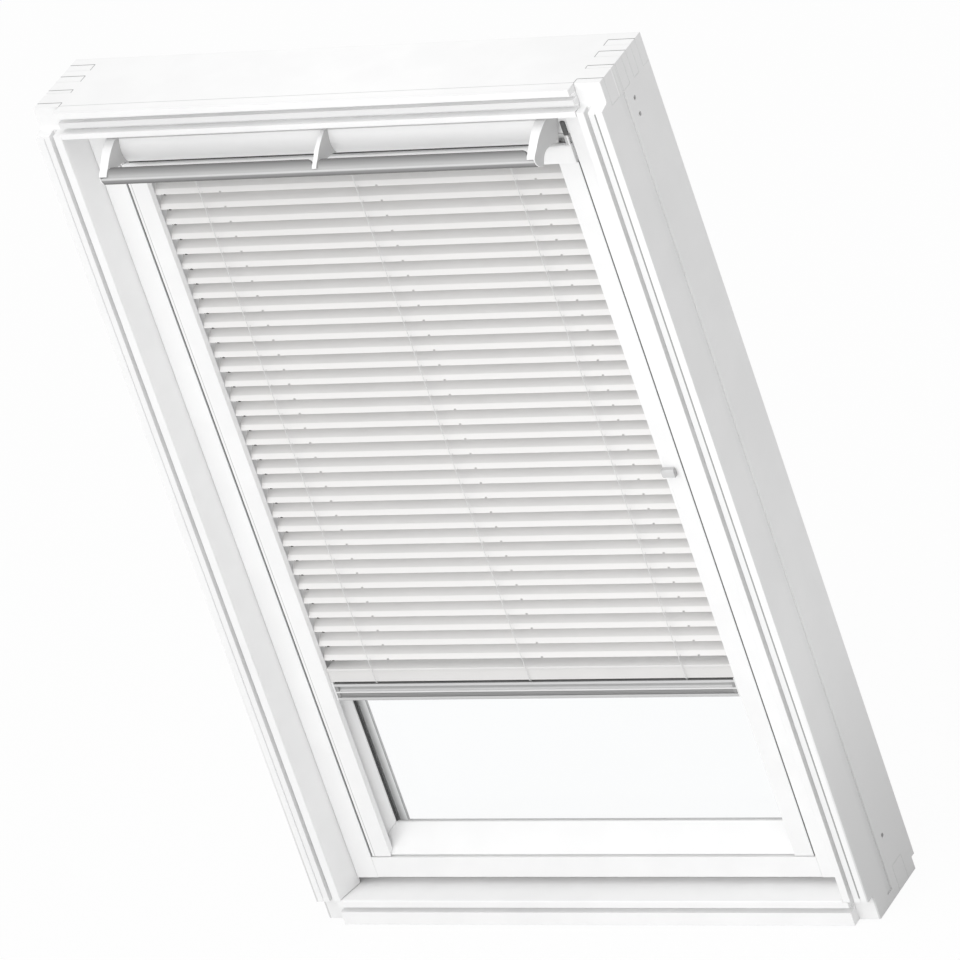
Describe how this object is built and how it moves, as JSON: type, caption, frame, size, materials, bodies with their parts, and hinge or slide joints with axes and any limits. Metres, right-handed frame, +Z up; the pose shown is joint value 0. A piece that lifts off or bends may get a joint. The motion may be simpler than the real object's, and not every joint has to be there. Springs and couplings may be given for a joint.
{
  "type": "roof window with blind",
  "caption": "Centre-pivot roof window with a tilting venetian blind, a ventilation flap worked by a full-width control bar, and double glazing.",
  "frame": {"origin": "middle of the foot of the whole window's bounding box, at the sill's underside", "axes": "+Z up the window, +X to the right as seen from the room, +Y towards the outside, so the room is on the -Y side"},
  "size_m": [0.78, 0.1586, 1.178],
  "materials": {
    "white_lacquer": "white polyurethane finish on a timber core",
    "flap_white": "white satin",
    "white_plastic": "white satin",
    "blind_white": "white satin paint",
    "slat_white": "white stove paint on rolled strip",
    "bar_aluminium": "satin anodised",
    "cover_grey": "grey coating",
    "spacer_metal": "mill finish",
    "pivot_steel": "zinc plated",
    "pane_glass": "clear float glass",
    "cord_white": "braided polyester",
    "knob_grey": "translucent grey"
  },
  "bodies": {
    "frame": {"frame_head": "white_lacquer", "frame_sill": "white_lacquer", "frame_jamb_left": "white_lacquer", "frame_jamb_right": "white_lacquer", "pivot_plate_left": "pivot_steel", "pivot_plate_right": "pivot_steel"},
    "sash": {"sash_stile_left": "white_lacquer", "sash_stile_right": "white_lacquer", "sash_bottom_rail": "white_lacquer", "sash_top_rail": "white_lacquer", "glass_inner_pane": "pane_glass", "glass_outer_pane": "pane_glass", "glass_spacer": "spacer_metal", "sash_outside_cover": "cover_grey", "blind_headrail": "blind_white", "blind_channel_left": "white_plastic", "blind_channel_right": "white_plastic", "blind_bottom_rail": "slat_white", "cord_ladder_left": "cord_white", "cord_ladder_middle": "cord_white", "cord_ladder_right": "cord_white"},
    "flap": {"vent_flap": "flap_white", "control_bar": "bar_aluminium", "control_arm_left": "white_plastic", "control_arm_middle": "white_plastic", "control_arm_right": "white_plastic"},
    "tilt_knob": {"tilt_knob": "knob_grey"},
    "slat_01": {"slat_01": "slat_white"},
    "slat_02": {"slat_02": "slat_white"},
    "slat_03": {"slat_03": "slat_white"},
    "slat_04": {"slat_04": "slat_white"},
    "slat_05": {"slat_05": "slat_white"},
    "slat_06": {"slat_06": "slat_white"},
    "slat_07": {"slat_07": "slat_white"},
    "slat_08": {"slat_08": "slat_white"},
    "slat_09": {"slat_09": "slat_white"},
    "slat_10": {"slat_10": "slat_white"},
    "slat_11": {"slat_11": "slat_white"},
    "slat_12": {"slat_12": "slat_white"},
    "slat_13": {"slat_13": "slat_white"},
    "slat_14": {"slat_14": "slat_white"},
    "slat_15": {"slat_15": "slat_white"},
    "slat_16": {"slat_16": "slat_white"},
    "slat_17": {"slat_17": "slat_white"},
    "slat_18": {"slat_18": "slat_white"},
    "slat_19": {"slat_19": "slat_white"},
    "slat_20": {"slat_20": "slat_white"},
    "slat_21": {"slat_21": "slat_white"},
    "slat_22": {"slat_22": "slat_white"},
    "slat_23": {"slat_23": "slat_white"},
    "slat_24": {"slat_24": "slat_white"},
    "slat_25": {"slat_25": "slat_white"},
    "slat_26": {"slat_26": "slat_white"},
    "slat_27": {"slat_27": "slat_white"},
    "slat_28": {"slat_28": "slat_white"},
    "slat_29": {"slat_29": "slat_white"},
    "slat_30": {"slat_30": "slat_white"},
    "slat_31": {"slat_31": "slat_white"},
    "slat_32": {"slat_32": "slat_white"},
    "slat_33": {"slat_33": "slat_white"}
  },
  "joints": [
    {"name": "sash_pivot", "type": "hinge", "parent": "frame", "child": "sash", "pos_m": [0, 0.0162, 0.5885], "axis": [1, 0, 0], "range_deg": [0, 150]},
    {"name": "flap_hinge", "type": "hinge", "parent": "sash", "child": "flap", "pos_m": [0, -0.0143, 1.1223], "axis": [1, 0, 0], "range_deg": [0, 25]},
    {"name": "tilt_slide", "type": "slide", "parent": "sash", "child": "tilt_knob", "axis": [0, 0, 1], "range_m": [-0.045, 0.014]},
    {"name": "turn_slat_01", "type": "hinge", "parent": "sash", "child": "slat_01", "pos_m": [0, 0.0027, 1.0448], "axis": [1, 0, 0], "range_deg": [-109, 34]},
    {"name": "turn_slat_02", "type": "hinge", "parent": "sash", "child": "slat_02", "pos_m": [0, 0.0027, 1.02385], "axis": [1, 0, 0], "range_deg": [-109, 34]},
    {"name": "turn_slat_03", "type": "hinge", "parent": "sash", "child": "slat_03", "pos_m": [0, 0.0027, 1.0029], "axis": [1, 0, 0], "range_deg": [-109, 34]},
    {"name": "turn_slat_04", "type": "hinge", "parent": "sash", "child": "slat_04", "pos_m": [0, 0.0027, 0.98195], "axis": [1, 0, 0], "range_deg": [-109, 34]},
    {"name": "turn_slat_05", "type": "hinge", "parent": "sash", "child": "slat_05", "pos_m": [0, 0.0027, 0.961], "axis": [1, 0, 0], "range_deg": [-109, 34]},
    {"name": "turn_slat_06", "type": "hinge", "parent": "sash", "child": "slat_06", "pos_m": [0, 0.0027, 0.94005], "axis": [1, 0, 0], "range_deg": [-109, 34]},
    {"name": "turn_slat_07", "type": "hinge", "parent": "sash", "child": "slat_07", "pos_m": [0, 0.0027, 0.9191], "axis": [1, 0, 0], "range_deg": [-109, 34]},
    {"name": "turn_slat_08", "type": "hinge", "parent": "sash", "child": "slat_08", "pos_m": [0, 0.0027, 0.89815], "axis": [1, 0, 0], "range_deg": [-109, 34]},
    {"name": "turn_slat_09", "type": "hinge", "parent": "sash", "child": "slat_09", "pos_m": [0, 0.0027, 0.8772], "axis": [1, 0, 0], "range_deg": [-109, 34]},
    {"name": "turn_slat_10", "type": "hinge", "parent": "sash", "child": "slat_10", "pos_m": [0, 0.0027, 0.85625], "axis": [1, 0, 0], "range_deg": [-109, 34]},
    {"name": "turn_slat_11", "type": "hinge", "parent": "sash", "child": "slat_11", "pos_m": [0, 0.0027, 0.8353], "axis": [1, 0, 0], "range_deg": [-109, 34]},
    {"name": "turn_slat_12", "type": "hinge", "parent": "sash", "child": "slat_12", "pos_m": [0, 0.0027, 0.81435], "axis": [1, 0, 0], "range_deg": [-109, 34]},
    {"name": "turn_slat_13", "type": "hinge", "parent": "sash", "child": "slat_13", "pos_m": [0, 0.0027, 0.7934], "axis": [1, 0, 0], "range_deg": [-109, 34]},
    {"name": "turn_slat_14", "type": "hinge", "parent": "sash", "child": "slat_14", "pos_m": [0, 0.0027, 0.77245], "axis": [1, 0, 0], "range_deg": [-109, 34]},
    {"name": "turn_slat_15", "type": "hinge", "parent": "sash", "child": "slat_15", "pos_m": [0, 0.0027, 0.7515], "axis": [1, 0, 0], "range_deg": [-109, 34]},
    {"name": "turn_slat_16", "type": "hinge", "parent": "sash", "child": "slat_16", "pos_m": [0, 0.0027, 0.73055], "axis": [1, 0, 0], "range_deg": [-109, 34]},
    {"name": "turn_slat_17", "type": "hinge", "parent": "sash", "child": "slat_17", "pos_m": [0, 0.0027, 0.7096], "axis": [1, 0, 0], "range_deg": [-109, 34]},
    {"name": "turn_slat_18", "type": "hinge", "parent": "sash", "child": "slat_18", "pos_m": [0, 0.0027, 0.68865], "axis": [1, 0, 0], "range_deg": [-109, 34]},
    {"name": "turn_slat_19", "type": "hinge", "parent": "sash", "child": "slat_19", "pos_m": [0, 0.0027, 0.6677], "axis": [1, 0, 0], "range_deg": [-109, 34]},
    {"name": "turn_slat_20", "type": "hinge", "parent": "sash", "child": "slat_20", "pos_m": [0, 0.0027, 0.64675], "axis": [1, 0, 0], "range_deg": [-109, 34]},
    {"name": "turn_slat_21", "type": "hinge", "parent": "sash", "child": "slat_21", "pos_m": [0, 0.0027, 0.6258], "axis": [1, 0, 0], "range_deg": [-109, 34]},
    {"name": "turn_slat_22", "type": "hinge", "parent": "sash", "child": "slat_22", "pos_m": [0, 0.0027, 0.60485], "axis": [1, 0, 0], "range_deg": [-109, 34]},
    {"name": "turn_slat_23", "type": "hinge", "parent": "sash", "child": "slat_23", "pos_m": [0, 0.0027, 0.5839], "axis": [1, 0, 0], "range_deg": [-109, 34]},
    {"name": "turn_slat_24", "type": "hinge", "parent": "sash", "child": "slat_24", "pos_m": [0, 0.0027, 0.56295], "axis": [1, 0, 0], "range_deg": [-109, 34]},
    {"name": "turn_slat_25", "type": "hinge", "parent": "sash", "child": "slat_25", "pos_m": [0, 0.0027, 0.542], "axis": [1, 0, 0], "range_deg": [-109, 34]},
    {"name": "turn_slat_26", "type": "hinge", "parent": "sash", "child": "slat_26", "pos_m": [0, 0.0027, 0.52105], "axis": [1, 0, 0], "range_deg": [-109, 34]},
    {"name": "turn_slat_27", "type": "hinge", "parent": "sash", "child": "slat_27", "pos_m": [0, 0.0027, 0.5001], "axis": [1, 0, 0], "range_deg": [-109, 34]},
    {"name": "turn_slat_28", "type": "hinge", "parent": "sash", "child": "slat_28", "pos_m": [0, 0.0027, 0.47915], "axis": [1, 0, 0], "range_deg": [-109, 34]},
    {"name": "turn_slat_29", "type": "hinge", "parent": "sash", "child": "slat_29", "pos_m": [0, 0.0027, 0.4582], "axis": [1, 0, 0], "range_deg": [-109, 34]},
    {"name": "turn_slat_30", "type": "hinge", "parent": "sash", "child": "slat_30", "pos_m": [0, 0.0027, 0.43725], "axis": [1, 0, 0], "range_deg": [-109, 34]},
    {"name": "turn_slat_31", "type": "hinge", "parent": "sash", "child": "slat_31", "pos_m": [0, 0.0027, 0.4163], "axis": [1, 0, 0], "range_deg": [-109, 34]},
    {"name": "turn_slat_32", "type": "hinge", "parent": "sash", "child": "slat_32", "pos_m": [0, 0.0027, 0.39535], "axis": [1, 0, 0], "range_deg": [-109, 34]},
    {"name": "turn_slat_33", "type": "hinge", "parent": "sash", "child": "slat_33", "pos_m": [0, 0.0027, 0.3744], "axis": [1, 0, 0], "range_deg": [-109, 34]}
  ],
  "couplings": [
    {"joint": "turn_slat_01", "follows": "tilt_slide", "rad_per_m": 42},
    {"joint": "turn_slat_02", "follows": "tilt_slide", "rad_per_m": 42},
    {"joint": "turn_slat_03", "follows": "tilt_slide", "rad_per_m": 42},
    {"joint": "turn_slat_04", "follows": "tilt_slide", "rad_per_m": 42},
    {"joint": "turn_slat_05", "follows": "tilt_slide", "rad_per_m": 42},
    {"joint": "turn_slat_06", "follows": "tilt_slide", "rad_per_m": 42},
    {"joint": "turn_slat_07", "follows": "tilt_slide", "rad_per_m": 42},
    {"joint": "turn_slat_08", "follows": "tilt_slide", "rad_per_m": 42},
    {"joint": "turn_slat_09", "follows": "tilt_slide", "rad_per_m": 42},
    {"joint": "turn_slat_10", "follows": "tilt_slide", "rad_per_m": 42},
    {"joint": "turn_slat_11", "follows": "tilt_slide", "rad_per_m": 42},
    {"joint": "turn_slat_12", "follows": "tilt_slide", "rad_per_m": 42},
    {"joint": "turn_slat_13", "follows": "tilt_slide", "rad_per_m": 42},
    {"joint": "turn_slat_14", "follows": "tilt_slide", "rad_per_m": 42},
    {"joint": "turn_slat_15", "follows": "tilt_slide", "rad_per_m": 42},
    {"joint": "turn_slat_16", "follows": "tilt_slide", "rad_per_m": 42},
    {"joint": "turn_slat_17", "follows": "tilt_slide", "rad_per_m": 42},
    {"joint": "turn_slat_18", "follows": "tilt_slide", "rad_per_m": 42},
    {"joint": "turn_slat_19", "follows": "tilt_slide", "rad_per_m": 42},
    {"joint": "turn_slat_20", "follows": "tilt_slide", "rad_per_m": 42},
    {"joint": "turn_slat_21", "follows": "tilt_slide", "rad_per_m": 42},
    {"joint": "turn_slat_22", "follows": "tilt_slide", "rad_per_m": 42},
    {"joint": "turn_slat_23", "follows": "tilt_slide", "rad_per_m": 42},
    {"joint": "turn_slat_24", "follows": "tilt_slide", "rad_per_m": 42},
    {"joint": "turn_slat_25", "follows": "tilt_slide", "rad_per_m": 42},
    {"joint": "turn_slat_26", "follows": "tilt_slide", "rad_per_m": 42},
    {"joint": "turn_slat_27", "follows": "tilt_slide", "rad_per_m": 42},
    {"joint": "turn_slat_28", "follows": "tilt_slide", "rad_per_m": 42},
    {"joint": "turn_slat_29", "follows": "tilt_slide", "rad_per_m": 42},
    {"joint": "turn_slat_30", "follows": "tilt_slide", "rad_per_m": 42},
    {"joint": "turn_slat_31", "follows": "tilt_slide", "rad_per_m": 42},
    {"joint": "turn_slat_32", "follows": "tilt_slide", "rad_per_m": 42},
    {"joint": "turn_slat_33", "follows": "tilt_slide", "rad_per_m": 42}
  ]
}
